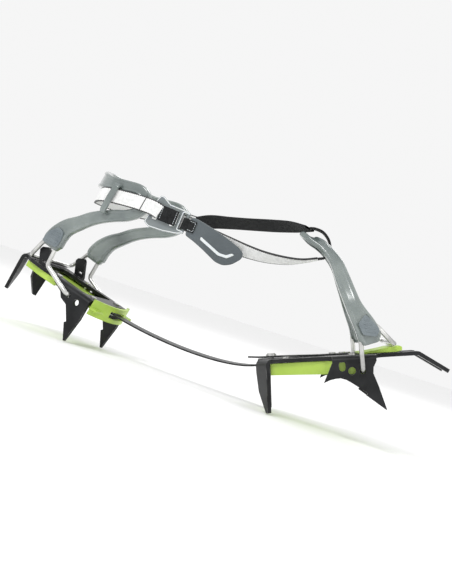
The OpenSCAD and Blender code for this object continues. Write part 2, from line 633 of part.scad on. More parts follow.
// --- heel harness -------------------------------------------------------------------------
ring_y = heel_arm_y + 0.4;
function heel_arm() = [
  [[25, heel_arm_y, 19], 19, 7, [0, 1, 0]], [[25, heel_arm_y, 24], 21, 8.6, [0, 1, 0]],
  [[27, heel_arm_y, 33], 19, 8.4, [0, 1, 0]], [[31.5, ring_y, 42], 15.5, 7.6, [0, 1, 0]],
  [[39.5, ring_y, 50.5], 13, 7, [0, 1, 0]], [[48, ring_y, 59.5], 12, 6.6, [0, 1, 0]],
  [[57, ring_y, 66.5], 11, 6.4, [0, 1, 0]], [[67, ring_y, 72.8], 10.5, 6.4, [0, 1, 0]],
  [[78, ring_y, 79], 10, 6.4, [0, 1, 0]], [[86, ring_y, 86.5], 9.5, 6.4, [0, 1, 0]],
  [[88, ring_y, 94.5], 9.5, 6.4, [0, 1, 0]], [[84, ring_y, 101.4], 9.5, 6.4, [0, 1, 0]],
  [[76, ring_y, 103.2], 9.5, 6.4, [0, 1, 0]], [[64, ring_y, 100.4], 10, 6.4, [0, 1, 0]],
  [[52, ring_y, 97], 10.5, 6.4, [0, 1, 0]], [[45, ring_y - 2.5, 95.2], 12, 6.6, [-0.3, 1, 0]],
  [[38, ring_y - 7, 94.2], 13.5, 7, [-0.7, 1, 0]], [[31.5, ring_y - 14, 93.4], 15, 7.4, [-1, 1, 0]],
  [[25.8, ring_y - 22.5, 92.8], 16.5, 7.8, [-1, 0.7, 0]],
  [[22, ring_y - 31, 92.5], 17.5, 8, [-1, 0.3, 0]]];

// Keeper of the ring that the strap runs behind
module strap_keeper() {
  out = strap_t + 2 * gap + 3.2;
  translate([55, ring_y, 0]) {
    translate([0, out, 66]) cube([6, 2.4, 34]);
    translate([0, 0, 66]) cube([6, out + 2.4, 10.5]);
    translate([0, 0, 95.4]) cube([6, out + 2.4, 4.6]);
  }
}

module heel_basket() {
  arm = heel_arm();
  far = [for (s = reverse(arm)) [mirror_y(s[0]), s[1], s[2], mirror_y(s[3])]];
  color(grey_rubber) heel_place() {
    band(concat(arm, far), 0.5);
    both_sides() strap_keeper();
  }
}

module heel_arm_pads() {
  color(pale_grey) heel_place() both_sides() translate([0, heel_arm_y + 4.35, 0])
    side_plate(0, 1, [[16.5, 20.4], [33.4, 21.4], [34.4, 29], [32.6, 36.6], [25.4, 38.6],
      [18, 30]]);
}

// --- strap --------------------------------------------------------------------------------
wrap_y = ring_y + 3.2 + gap + strap_t / 2;
wrap_front = [98, wrap_y, 96.5];
function wrap_half() = [[wrap_front, [0, 1, 0]], [[84, wrap_y, 94], [0, 1, 0]],
  [[70, wrap_y, 90.5], [0, 1, 0]], [[57, wrap_y, 86.8], [0, 1, 0]],
  [[48.5, wrap_y - 0.9, 83.8], [-0.3, 1, 0]], [[41, wrap_y - 7.2, 80.8], [-0.8, 1, 0]],
  [[35, wrap_y - 16, 78.8], [-1, 0.9, 0]], [[28.8, wrap_y - 25.5, 77.4], [-1, 0.7, 0]],
  [[23.8, wrap_y - 34.5, 76.4], [-1, 0.35, 0]]];
function strap_run(list) = [for (s = list) [s[0], strap_w, strap_t, unit(s[1])]];
function in_heel(list) = [for (s = list)
  [heel_at(s[0]), heel_at(s[1]) - heel_at([0, 0, 0])]];
function lifted(p) = p + [0, 0, far_rise * max(0, p.x - 30) / 68];

near_a = heel_at(mirror_y(wrap_front));
far_a = heel_at(lifted(wrap_front));
loop_low = toe_at([51, 0, 79.5]);
loop_high = toe_at([45.5, 0, 105]);
run_dir = unit([loop_low.x - near_a.x, loop_low.y - near_a.y, 0]);
run_turn = atan2(run_dir.y, run_dir.x);
buckle_len = 35.4;
buckle_t = 2.4;
buckle_dip = 5;
strap_lie = buckle_t / 2 + gap + strap_t / 2 + 0.7;
buckle_spot = near_a + run_dir * 14.5 + [0, strap_lie, -2.6];
tab_hinge_x = buckle_len / 2 - 1.6;
tab_z = -1;

module buckle_place() {
  translate(buckle_spot) rotate([0, buckle_dip, run_turn]) children();
}
function buckle_at(p) = turn_z(run_turn, turn_y(buckle_dip, p)) + buckle_spot;

module strap_heel_wrap() {
  half = wrap_half();
  back = [for (s = reverse(half)) [mirror_y(s[0]), mirror_y(s[1])]];
  far = [for (s = half) [lifted(s[0]), s[1]]];
  color(web_white) band(strap_run(concat(in_heel(concat(far, back)),
    [[buckle_at([-8, -strap_lie, 0]), [0, -1, 0]]])));
}

module buckle() {
  h = strap_w / 2 + 0.8;
  color(grey_rubber) buckle_place() {
    difference() {
      translate([0, buckle_t / 2, 0]) rotate([90, 0, 0]) linear_extrude(buckle_t)
        offset(1.4, $fn = 24) polygon([[-16.2, -11.6], [-15, -6.3], [-13, 7.8], [-10.8, 12.6],
          [-9.2, 12.4], [-2, h + 1], [15.4, h + 1], [16.1, h], [16.1, -h - 1.4], [11.6, -h - 3],
          [-0.5, -12.6], [-12.6, -13.4]]);
      for (x = [[-12.4, -8.4], [3.6, 8.6], [11.8, 20]]) translate([x[0], -5, -h])
        cube([x[1] - x[0], 10, 2 * h]);
    }
    // round bar that carries the pull tab
    translate([tab_hinge_x, 0, -h - 1]) cylinder(h = 2 * h + 2, r = 1.4, $fn = 32);
  }
}

module tab_outline() {
  offset(2.4, $fn = 24) polygon([[5.8, -6.8], [12.6, -8.5], [22.5, -11.9], [36.5, -17.6],
    [42.5, -17.7], [48, -14.8], [53, -8.6], [53, -6], [49.5, -3.6], [38.5, -0.2], [26, 2.6],
    [10.4, 5.2], [5.8, 5.4]]);
}

module pull_tab() {
  color(pale_grey) buckle_place() translate([tab_hinge_x, 0, tab_z]) {
    translate([0, 0.6, 0]) rotate([90, 0, 0]) linear_extrude(2.4) tab_outline();
    // raised stripe along the tab
    translate([0, -1.7, 0]) rotate([90, 0, 0]) linear_extrude(0.9)
      polygon([[17, -7.4], [36, -14], [44, -13.4], [49, -8.6], [46.5, -8], [42.6, -11.2],
        [36.4, -11.6], [17, -4.8]]);
  }
}

module tab_webbing() {
  color(web_black) buckle_place() translate([tab_hinge_x, 0, tab_z]) difference() {
    union() {
      translate([0, 0, -5]) cylinder(h = 10, r = 2.9, $fn = 32);
      translate([0, -2.9, -5]) cube([9.4, 1, 10]);
    }
    translate([0, 0, -6]) cylinder(h = 12, r = 1.8, $fn = 32);
  }
}

module strap_buckle_loop() {
  color(web_black) buckle_place() translate([-6.8, -strap_lie - strap_t / 2, -strap_w / 2])
    cube([15.2, strap_t, strap_w]);
}

// Directions in which the two strands leave the heel ring's tape and the toe basket's loop
far_way = unit(far_a - heel_at(lifted([84, wrap_y, 94])));
high_way = unit(loop_high - toe_at([50.5, 0, 104.2]));
low_way = unit(loop_low - toe_at([56, 0, 79.8]));
near_b = buckle_at([8, strap_lie, 0]);
near_c = buckle_at([20, 5.6, 0]);
module strap_near_strand() {
  color(web_white) band(strap_run([
    [near_b, [0, -1, 0]], [buckle_at([14, 4.2, 0]), [0, -1, 0]], [near_c, [0, -1, 0]],
    [mid(near_c, loop_low, 0.14) + [0, 2, -3.6], [0, -1, -0.1]],
    [mid(near_c, loop_low, 0.3) + [0, 2.6, -6.6], [0, -1, -0.3]],
    [mid(near_c, loop_low, 0.46) + [0, 2.2, -8.8], [0, -1, -0.7]],
    [mid(near_c, loop_low, 0.62) + [0, 1, -9.6], [0, -0.8, -1]],
    [mid(near_c, loop_low, 0.78) - [0, 0, 8], [0, -0.4, -1]],
    [mid(near_c, loop_low, 0.9) - [0, 0, 4.6], [0, -0.1, -1]],
    [loop_low + low_way * 5, [0, 0, -1]], [loop_low + low_way * 0.4, [0, 0, -1]]]));
}

module strap_far_strand() {
  color(web_black) band(strap_run([
    [far_a + far_way * 0.4, [0, 1, 0]], [far_a + far_way * 4, [0, 1, 0]],
    [mid(far_a, loop_high, 0.14) + [0, 0, 2.4], [0, 1, 0.45]],
    [mid(far_a, loop_high, 0.32) + [0, 0, 2], [0, 1, 0.8]],
    [mid(far_a, loop_high, 0.5) + [0, 0, 1.4], [0, 1, 0.9]],
    [mid(far_a, loop_high, 0.7) + [0, 0, 1], [0, 1, 0.9]],
    [mid(far_a, loop_high, 0.86) + [0, 0, 0.8], [0, 0.7, 0.9]],
    [loop_high + high_way * 4, [0, 0.1, 1]], [loop_high + high_way * 0.4, [0, 0, 1]]]));
}

module strap_toe_loop() {
  color(web_black) toe_place() band(strap_run([
    [[45.5, 0, 105], [0, 0, 1]], [[50.5, 0, 104.2], [0.4, 0, 1]], [[56.4, 0, 101], [1, 0, 1]],
    [[60.4, 0, 95], [1, 0, 0.3]], [[61.6, 0, 88], [1, 0, 0]], [[60, 0, 82.4], [1, 0, -0.5]],
    [[56, 0, 79.8], [0.4, 0, -1]], [[51, 0, 79.5], [0, 0, -1]]]));
}

toe_frame();
toe_snow_plate();
toe_plate_rivets();
lock_spring();
lock_spring_rivets();
lock_pin();
bar_guide();
link_bar();
toe_bail();
toe_basket();
toe_arm_pads();
heel_frame();
heel_snow_plate();
heel_plate_rivets();
bar_clip();
heel_bail();
heel_basket();
heel_arm_pads();
buckle();
pull_tab();
tab_webbing();
strap_heel_wrap();
strap_buckle_loop();
strap_near_strand();
strap_far_strand();
strap_toe_loop();
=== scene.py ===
# Twelve-point strap-on crampon: wires, harness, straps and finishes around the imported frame.
import bmesh
import bpy
import json
from math import acos, ceil, cos, pi, radians, sin, tan
from mathutils import Matrix, Vector


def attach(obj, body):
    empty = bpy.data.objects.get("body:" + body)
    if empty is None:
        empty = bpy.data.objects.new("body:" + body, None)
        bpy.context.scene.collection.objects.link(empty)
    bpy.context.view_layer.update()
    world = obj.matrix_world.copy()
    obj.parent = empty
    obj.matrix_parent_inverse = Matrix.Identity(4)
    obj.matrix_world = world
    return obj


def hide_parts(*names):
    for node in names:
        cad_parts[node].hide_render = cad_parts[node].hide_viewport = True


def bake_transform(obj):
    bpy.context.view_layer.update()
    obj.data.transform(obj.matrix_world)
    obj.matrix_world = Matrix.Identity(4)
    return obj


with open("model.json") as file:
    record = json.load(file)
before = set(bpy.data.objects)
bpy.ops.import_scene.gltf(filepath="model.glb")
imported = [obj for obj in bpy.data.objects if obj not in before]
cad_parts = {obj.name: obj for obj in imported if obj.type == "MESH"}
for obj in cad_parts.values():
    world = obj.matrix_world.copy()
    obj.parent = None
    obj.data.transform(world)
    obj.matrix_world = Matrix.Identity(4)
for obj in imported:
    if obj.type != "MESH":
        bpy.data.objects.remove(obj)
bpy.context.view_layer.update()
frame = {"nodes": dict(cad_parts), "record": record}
joints = {j["name"]: j for j in frame["record"]["behaviour"]["joints"]}
print("frame loaded:", len(frame["nodes"]), "nodes")

# Camera, stood where the crampon is seen from its near side
cameraValues = dict(place=(0.0530, -0.8968, 0.0691), forward=(-0.0571, 0.9982, 0.0157),
                    up=(-0.3042, -0.0323, 0.9521), lens=64.3)
forward = Vector(cameraValues["forward"]).normalized()
rightward = forward.cross(Vector(cameraValues["up"])).normalized()
upward = rightward.cross(forward)
cameraData = bpy.data.cameras.new("camera")
cameraData.sensor_fit = "VERTICAL"
cameraData.sensor_height = 36
cameraData.lens = cameraValues["lens"]
cameraData.clip_start = 0.02
camera = bpy.data.objects.new("camera", cameraData)
bpy.context.scene.collection.objects.link(camera)
turn = Matrix((rightward, upward, -forward)).transposed().to_4x4()
camera.matrix_world = Matrix.Translation(cameraValues["place"]) @ turn
bpy.context.scene.camera = camera

# Where each section stands
stance = dict(toePitch=21, heelPitch=14, armY=46.3, heelArmY=36.55, ringY=36.95, tapeY=41.45)
mm = 0.001


def placeFrom(localSpot, worldSpot, xAxis, yAxis):
    axes = Matrix((xAxis, yAxis, xAxis.cross(yAxis))).transposed().to_4x4()
    return (Matrix.Translation(worldSpot) @ axes @ Matrix.Scale(mm, 4)
            @ Matrix.Translation(-Vector(localSpot)))


toePitch, heelPitch = radians(stance["toePitch"]), radians(stance["heelPitch"])
heelAcross = Vector(joints["heel_bail_swing"]["axis"]).normalized()
heelLevel = Vector((heelAcross.y, -heelAcross.x, 0))
tabUp = -Vector(joints["pull_tab_lift"]["axis"]).normalized()
tabAcross = Vector((-tabUp.y, tabUp.x, 0)).normalized()
toePlace = placeFrom((79, 0, -12.3), joints["toe_bail_swing"]["pos_m"],
                     Vector((cos(toePitch), 0, sin(toePitch))), Vector((0, 1, 0)))
heelPlace = placeFrom((63, 0, -7.6), joints["heel_bail_swing"]["pos_m"],
                      heelLevel * cos(heelPitch) - Vector((0, 0, sin(heelPitch))), heelAcross)
bucklePlace = placeFrom((16.1, 0, -1), joints["pull_tab_lift"]["pos_m"],
                        tabAcross.cross(tabUp), tabAcross)
upright = Matrix.Rotation(pi / 2, 4, "X")  # stands a flat outline up along X and Z


def lieOf(place):
    return place.to_3x3().normalized()


def mirrored(p):
    return (p[0], -p[1], p[2])


# Finishes
def addNode(material, kind, **inputs):
    tree = material.node_tree
    made = tree.nodes.new(kind)
    for key, value in inputs.items():
        if key.startswith("set_"):
            setattr(made, key[4:], value)
            continue
        numbered = key[1:].isdigit()
        socket = made.inputs[int(key[1:]) if numbered else key.replace("_", " ")]
        if isinstance(value, bpy.types.NodeSocket):
            tree.links.new(value, socket)
        else:
            socket.default_value = value
    return made


def startFinish(name, roughness, metallic=0.0, **extra):
    material = bpy.data.materials.new(name)
    material.use_nodes = True
    shader = material.node_tree.nodes["Principled BSDF"]
    shader.inputs["Roughness"].default_value = roughness
    shader.inputs["Metallic"].default_value = metallic
    for key, value in extra.items():
        shader.inputs[key.replace("_", " ")].default_value = value
    return material, shader


def spots(material, scale, detail=4.0, source=None, stretch=None):
    if source is None:
        source = addNode(material, "ShaderNodeTexCoord").outputs["Object"]
    if stretch:
        source = addNode(material, "ShaderNodeMapping", Vector=source, Scale=stretch).outputs[0]
    return addNode(material, "ShaderNodeTexNoise", Vector=source, Scale=scale,
                   Detail=detail).outputs["Fac"]


def tones(material, factor, low, high, between=(0.35, 0.65)):
    ramp = addNode(material, "ShaderNodeValToRGB", Fac=factor)
    ramp.color_ramp.elements[0].position, ramp.color_ramp.elements[1].position = between
    ramp.color_ramp.elements[0].color = (*low, 1)
    ramp.color_ramp.elements[1].color = (*high, 1)
    return ramp.outputs[0]


def blendTones(material, factor, a, b):
    mix = addNode(material, "ShaderNodeMix", set_data_type="RGBA")
    tree = material.node_tree
    for index, value in ((0, factor), (6, a), (7, b)):
        if isinstance(value, bpy.types.NodeSocket):
            tree.links.new(value, mix.inputs[index])
        else:
            mix.inputs[index].default_value = value
    return mix.outputs[2]


def sums(material, operation, a, b=0.0, c=0.0):
    return addNode(material, "ShaderNodeMath", set_operation=operation, _0=a, _1=b,
                   _2=c).outputs[0]


def joinUp(material, shader, colour=None, height=None, depth=0.0002, strength=1.0, normal=None):
    tree = material.node_tree
    if colour is not None:
        tree.links.new(colour, shader.inputs["Base Color"])
    if height is not None:
        bump = addNode(material, "ShaderNodeBump", Height=height, Distance=depth,
                       Strength=strength)
        if normal is not None:
            tree.links.new(normal, bump.inputs["Normal"])
        normal = bump.outputs[0]
    if normal is not None:
        tree.links.new(normal, shader.inputs["Normal"])
    return material


coatValues = dict(roughness=0.32, dark=(0.006, 0.0065, 0.007), light=(0.018, 0.019, 0.020),
                  worn=(0.30, 0.30, 0.29), edge=0.0006, mottle=55, patches=210, grain=900)


def softNormal(material, radius):
    # shading that rounds sharp edges off
    return addNode(material, "ShaderNodeBevel", set_samples=4, Radius=radius).outputs[0]


def coatedSteel():
    material, shader = startFinish("coatedSteel", coatValues["roughness"],
                                   Specular_IOR_Level=0.22)
    base = tones(material, spots(material, coatValues["mottle"]), coatValues["dark"],
                 coatValues["light"])
    soft = softNormal(material, coatValues["edge"])
    flat = addNode(material, "ShaderNodeNewGeometry").outputs["Normal"]
    agree = addNode(material, "ShaderNodeVectorMath", set_operation="DOT_PRODUCT", _0=soft,
                    _1=flat).outputs["Value"]
    edge = addNode(material, "ShaderNodeMapRange", Value=agree, From_Min=0.97, From_Max=0.80,
                   To_Min=0.0, To_Max=1.0).outputs[0]
    patch = addNode(material, "ShaderNodeMapRange", Value=spots(material, coatValues["patches"]),
                    From_Min=0.42, From_Max=0.60).outputs[0]
    worn = sums(material, "MULTIPLY", edge, patch)
    colour = blendTones(material, worn, base, (*coatValues["worn"], 1))
    return joinUp(material, shader, colour, spots(material, coatValues["grain"], 2), 0.00006,
                  0.5, soft)


brightValues = dict(roughness=0.30, metallic=0.95, dark=(0.42, 0.42, 0.41),
                    light=(0.70, 0.70, 0.68), mottle=80, drawn=260, stretch=(1, 6, 1))


def brightSteel():
    material, shader = startFinish("brightSteel", brightValues["roughness"],
                                   brightValues["metallic"])
    colour = tones(material, spots(material, brightValues["mottle"]), brightValues["dark"],
                   brightValues["light"])
    drawn = spots(material, brightValues["drawn"], 3, stretch=brightValues["stretch"])
    return joinUp(material, shader, colour, drawn, 0.00004, 0.5)


limeValues = dict(roughness=0.40, dark=(0.32, 0.48, 0.055), light=(0.43, 0.60, 0.090),
                  glow=0.12, edge=0.0005, mottle=35, grain=1500)


def limePlastic():
    material, shader = startFinish("limePlastic", limeValues["roughness"],
                                   Subsurface_Weight=limeValues["glow"])
    shader.inputs["Subsurface Radius"].default_value = (0.003, 0.004, 0.001)
    colour = tones(material, spots(material, limeValues["mottle"]), limeValues["dark"],
                   limeValues["light"])
    soft = softNormal(material, limeValues["edge"])
    return joinUp(material, shader, colour, spots(material, limeValues["grain"], 2), 0.00005,
                  0.6, soft)


def softPlastic(name, low, high, roughness=0.30, bumps=700.0, coat=0.25):
    material, shader = startFinish(name, roughness, Subsurface_Weight=0.18, Coat_Weight=coat,
                                   Coat_Roughness=0.2)
    shader.inputs["Subsurface Radius"].default_value = (0.004, 0.004, 0.003)
    colour = tones(material, spots(material, 26), low, high)
    return joinUp(material, shader, colour, spots(material, bumps, 3), 0.00008, 0.5)


inlayFinishValues = dict(roughness=0.55, dark=(0.10, 0.125, 0.14), light=(0.17, 0.20, 0.215),
                         mottle=60, pips=820.0, depth=0.00025)


def inlayRubber():
    material, shader = startFinish("inlayRubber", inlayFinishValues["roughness"], Sheen_Weight=0.1)
    source = addNode(material, "ShaderNodeTexCoord").outputs["Object"]
    pips = addNode(material, "ShaderNodeTexVoronoi", Vector=source,
                   Scale=inlayFinishValues["pips"])
    colour = tones(material, spots(material, inlayFinishValues["mottle"]),
                   inlayFinishValues["dark"], inlayFinishValues["light"])
    return joinUp(material, shader, colour, pips.outputs["Distance"],
                  inlayFinishValues["depth"], 0.8)


def clothParts(material):
    lie = addNode(material, "ShaderNodeAttribute", set_attribute_name="lie").outputs["Vector"]
    split = addNode(material, "ShaderNodeSeparateXYZ", Vector=lie)
    return lie, split.outputs[0], split.outputs[1]


def weave(material, along, across, pitch):
    # over-and-under pattern from two crossed waves, in millimetres along and across
    a = sums(material, "SINE", sums(material, "MULTIPLY", along, 2 * pi / pitch))
    b = sums(material, "SINE", sums(material, "MULTIPLY", across, 2 * pi / pitch))
    return sums(material, "MULTIPLY", a, b)


webbingValues = dict(roughness=0.78, thread=0.9, dark=(0.004, 0.0045, 0.005),
                     light=(0.016, 0.017, 0.018))


def blackWebbing():
    material, shader = startFinish("blackWebbing", webbingValues["roughness"], Sheen_Weight=0.06,
                                   Sheen_Roughness=0.4, Specular_IOR_Level=0.3)
    lie, along, across = clothParts(material)
    threads = weave(material, along, across, webbingValues["thread"])
    colour = tones(material, spots(material, 0.6, 4, lie), webbingValues["dark"],
                   webbingValues["light"])
    return joinUp(material, shader, colour, threads, 0.00012, 0.8)


tapeValues = dict(roughness=0.68, edge=5.35, zigzag=0.55, pitch=1.9, thread=1.1,
                  low=(0.72, 0.73, 0.72), high=(0.86, 0.86, 0.85), border=(0.018, 0.019, 0.020, 1))


def whiteTape():
    material, shader = startFinish("whiteTape", tapeValues["roughness"], Sheen_Weight=0.25,
                                   Sheen_Roughness=0.4)
    lie, along, across = clothParts(material)
    swing = sums(material, "PINGPONG", along, tapeValues["pitch"] / 2)
    limit = sums(material, "MULTIPLY_ADD", swing, -tapeValues["zigzag"], tapeValues["edge"] + 0.5)
    dark = sums(material, "GREATER_THAN", sums(material, "ABSOLUTE", across), limit)
    white = tones(material, spots(material, 0.5, 4, lie), tapeValues["low"], tapeValues["high"])
    colour = blendTones(material, dark, white, tapeValues["border"])
    threads = weave(material, along, across, tapeValues["thread"])
    return joinUp(material, shader, colour, threads, 0.00012, 0.7)


finishes = dict(
    steelBlack=coatedSteel(), steelBright=brightSteel(), lime=limePlastic(),
    rubber=softPlastic("greyRubber", (0.105, 0.130, 0.128), (0.225, 0.258, 0.246), 0.20, 700.0,
                       0.8),
    buckleGrey=softPlastic("buckleGrey", (0.115, 0.135, 0.140), (0.19, 0.215, 0.22), 0.22, 700.0,
                           0.5),
    clipGrey=softPlastic("clipGrey", (0.46, 0.50, 0.52), (0.56, 0.60, 0.62), 0.35),
    slate=softPlastic("slateTab", (0.062, 0.078, 0.085), (0.095, 0.112, 0.122), 0.42, 1100.0, 0.1),
    # the tab's printed stripe; the same pale colour also paints the highlight wire round the
    # buckle's rim
    stripe=softPlastic("paleStripeAndHighlight", (0.62, 0.66, 0.67), (0.74, 0.77, 0.78), 0.4),
    inlay=inlayRubber(), webBlack=blackWebbing(), webWhite=whiteTape())
print("finishes made:", len(finishes))

# CAD parts that stay, and the finish of each
keptParts = dict(toe_frame="steelBlack", heel_frame="steelBlack", lock_spring="steelBlack",
                 toe_snow_plate="lime", heel_snow_plate="lime", toe_plate_rivets="steelBright",
                 heel_plate_rivets="steelBright", lock_spring_rivets="steelBright",
                 lock_pin="steelBright", bar_guide="steelBright", bar_clip="clipGrey")
for nodeName, finishName in keptParts.items():
    part = frame["nodes"][nodeName]
    part.data.materials.clear()
    part.data.materials.append(finishes[finishName])
    part.data.shade_smooth()
    part.data.set_sharp_from_angle(angle=radians(24))
print("kept parts finished:", len(keptParts))


# Ways of making a piece
def addPiece(name, mesh, finishName, body=None, replaced=(), creases=40):
    mesh.materials.clear()
    mesh.materials.append(finishes[finishName])
    for polygon in mesh.polygons:
        polygon.material_index = 0
    mesh.shade_smooth()
    mesh.set_sharp_from_angle(angle=radians(creases))
    piece = bpy.data.objects.new(name, mesh)
    bpy.context.scene.collection.objects.link(piece)
    if body:
        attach(piece, body)
    if replaced:
        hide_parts(*replaced)
    return piece


def tidyMesh(mesh):
    shape = bmesh.new()
    shape.from_mesh(mesh)
    bmesh.ops.remove_doubles(shape, verts=shape.verts, dist=2e-6)
    bmesh.ops.dissolve_degenerate(shape, edges=shape.edges, dist=1e-6)
    bmesh.ops.recalc_face_normals(shape, faces=shape.faces)
    shape.to_mesh(mesh)
    shape.free()
    return mesh


def meld(name, meshes):
    shape = bmesh.new()
    for mesh in meshes:
        shape.from_mesh(mesh)
    joined = bpy.data.meshes.new(name)
    shape.to_mesh(joined)
    shape.free()
    return joined


def softSection(count, power):
    ring = []
    for k in range(count):
        a = 2 * pi * (k + 0.5) / count
        c, s = cos(a), sin(a)
        ring.append((abs(c) ** (2 / power) * (1 if c > 0 else -1),
                     abs(s) ** (2 / power) * (1 if s > 0 else -1)))
    return ring


def beadedSection(count=40, power=4.0, hollow=0.30):
    # thick beads along both edges of an arm, with a thinner web between
    ring = []
    for u, v in softSection(count, power):
        k = min(1, max(0, (abs(u) - 0.52) / 0.2))
        ring.append((u, v * (1 - hollow + hollow * k * k * (3 - 2 * k))))
    return ring


def smoothStations(stations, steps):
    # stations are (point, width, thickness, outward); in between they follow a smooth curve
    made = []
    last = len(stations) - 1
    for i in range(last):
        four = [stations[max(0, min(last, i + k))] for k in (-1, 0, 1, 2)]
        for step in range(steps + (i == last - 1)):
            t = step / steps
            w = (-t ** 3 + 2 * t ** 2 - t, 3 * t ** 3 - 5 * t ** 2 + 2,
                 -3 * t ** 3 + 4 * t ** 2 + t, t ** 3 - t ** 2)
            made.append(tuple(sum((s[k] * (x / 2) for s, x in zip(four[1:], w[1:])),
                                  four[0][k] * (w[0] / 2)) for k in range(4)))
    return made


def evenStations(stations, pitch):
    # the same path, sampled again every `pitch` metres
    made, carried = [stations[0]], 0.0
    for a, b in zip(stations, stations[1:]):
        span = (b[0] - a[0]).length
        while span > 0 and carried + span >= pitch:
            t = (pitch - carried) / span
            a = tuple(p + (q - p) * t for p, q in zip(a, b))
            made.append(a)
            span = (b[0] - a[0]).length
            carried = 0.0
        carried += span
    return made + [stations[-1]]


def sweep(name, stations, section, closed=True, ends=0.0, startAt=0.0, rib=None):
    rows = []
    travelled = startAt
    for k, (point, width, thick, out) in enumerate(stations):
        before, after = stations[max(k - 1, 0)][0], stations[min(k + 1, len(stations) - 1)][0]
        if k:
            travelled += (point - stations[k - 1][0]).length
        d = (after - before).normalized()
        u = d.cross(out).normalized()
        v = u.cross(d)
        if rib:
            thick = thick * (1 - rib[1] * (0.5 - 0.5 * cos(2 * pi * travelled / (rib[0] * mm))))
        rows.append((point, u, v, d, width, thick, travelled))
    if ends:  # rounded ends
        for front in (True, False):
            point, u, v, d, width, thick, t = rows[0 if front else -1]
            way = -d if front else d
            for a in (30, 55, 75, 88):
                cut = 2 * ends * (1 - cos(radians(a)))
                row = (point + way * ends * sin(radians(a)), u, v, d, width - cut,
                       max(thick - cut, thick * 0.04), t)
                rows.insert(0, row) if front else rows.append(row)
    n = len(section)
    verts, lies = [], []
    for point, u, v, d, width, thick, t in rows:
        for x, y in section:
            verts.append(point + u * (x * width / 2) + v * (y * thick / 2))
            lies.append((t / mm, x * width / 2 / mm, y))
    faces = [(r * n + i, r * n + (i + 1) % n, (r + 1) * n + (i + 1) % n, (r + 1) * n + i)
             for r in range(len(rows) - 1) for i in range(n)]
    if closed:
        faces += [tuple(range(n)), tuple(range((len(rows) - 1) * n, len(rows) * n))]
    mesh = bpy.data.meshes.new(name)
    mesh.from_pydata([tuple(p) for p in verts], [], faces)
    shape = bmesh.new()
    shape.from_mesh(mesh)
    bmesh.ops.recalc_face_normals(shape, faces=shape.faces)
    shape.to_mesh(mesh)
    shape.free()
    lie = mesh.attributes.new("lie", "FLOAT_VECTOR", "POINT")
    lie.data.foreach_set("vector", [c for row in lies for c in row])
    return mesh


def wayIn(place, way):
    return (lieOf(place) @ Vector(way)).normalized()


def inPlace(place, stations):
    return [(place @ Vector(p), width * mm, thick * mm, wayIn(place, out))
            for p, width, thick, out in stations]


def filleted(points, radius):
    # a wire's path with each corner bent round
    path = [points[0]]
    for a, b, c in zip(points, points[1:], points[2:]):
        into, out = (b - a).normalized(), (c - b).normalized()
        turned = acos(max(-1, min(1, into.dot(out))))
        if turned < radians(1):
            path.append(b)
            continue
        inward = (out - into * into.dot(out)).normalized()
        hub = b - into * radius * tan(turned / 2) + inward * radius
        steps = ceil(turned / radians(7))
        path += [hub - inward * radius * cos(turned * k / steps)
                 + into * radius * sin(turned * k / steps) for k in range(steps + 1)]
    return path + [points[-1]]


def bentWire(name, points, diameter, radius, count=20):
    path = filleted([Vector(p) for p in points], radius)
    ring = [(cos(2 * pi * k / count), sin(2 * pi * k / count)) for k in range(count)]
    verts, sideWay = [], None
    for k, p in enumerate(path):
        d = (path[min(k + 1, len(path) - 1)] - path[max(k - 1, 0)]).normalized()
        sideWay = d.orthogonal() if sideWay is None else sideWay - d * sideWay.dot(d)
        sideWay.normalize()
        other = d.cross(sideWay)
        verts += [p + (sideWay * x + other * y) * diameter / 2 for x, y in ring]
    rows = len(path)
    faces = [(r * count + i, r * count + (i + 1) % count, (r + 1) * count + (i + 1) % count,
              (r + 1) * count + i) for r in range(rows - 1) for i in range(count)]
    faces += [tuple(range(count)), tuple(range((rows - 1) * count, rows * count))]
    mesh = bpy.data.meshes.new(name)
    mesh.from_pydata([tuple(p) for p in verts], [], faces)
    return tidyMesh(mesh)


def roundedLoop(points, radius, steps=5):
    made = []
    for i, p in enumerate(points):
        p, a, c = Vector(p), Vector(points[i - 1]), Vector(points[(i + 1) % len(points)])
        reach = min(radius, (a - p).length * 0.48, (c - p).length * 0.48)
        start, end = p + (a - p).normalized() * reach, p + (c - p).normalized() * reach
        made += [start * (1 - t) ** 2 + p * 2 * t * (1 - t) + end * t ** 2
                 for t in (k / steps for k in range(steps + 1))]
    return made


def grownLoop(points, by):
    area = sum(points[i - 1][0] * p[1] - p[0] * points[i - 1][1] for i, p in enumerate(points))
    out = 1 if area > 0 else -1
    made = []
    for i, p in enumerate(points):
        p, a, c = Vector(p), Vector(points[i - 1]), Vector(points[(i + 1) % len(points)])
        n1 = Vector(((p - a).y, -(p - a).x)).normalized() * out
        n2 = Vector(((c - p).y, -(c - p).x)).normalized() * out
        middle = (n1 + n2).normalized()
        made.append(p + middle * by / max(0.5, middle.dot(n1)))
    return made


def softPlate(name, loops, thick, soft, place):
    # a flat plate with holes and rounded rims, `thick` through
    curve = bpy.data.curves.new(name, "CURVE")
    curve.dimensions = "2D"
    curve.fill_mode = "BOTH"
    curve.extrude = thick / 2 - soft
    curve.bevel_depth = soft
    curve.bevel_resolution = 3
    curve.offset = -soft
    for loop in loops:
        spline = curve.splines.new("POLY")
        spline.points.add(len(loop) - 1)
        for point, q in zip(spline.points, loop):
            point.co = (q[0], q[1], 0, 1)
        spline.use_cyclic_u = True
    holder = bpy.data.objects.new(name, curve)
    bpy.context.scene.collection.objects.link(holder)
    bpy.context.view_layer.update()
    mesh = bpy.data.meshes.new_from_object(holder.evaluated_get(
        bpy.context.evaluated_depsgraph_get()))
    bpy.data.objects.remove(holder)
    mesh.transform(place)
    return tidyMesh(mesh)


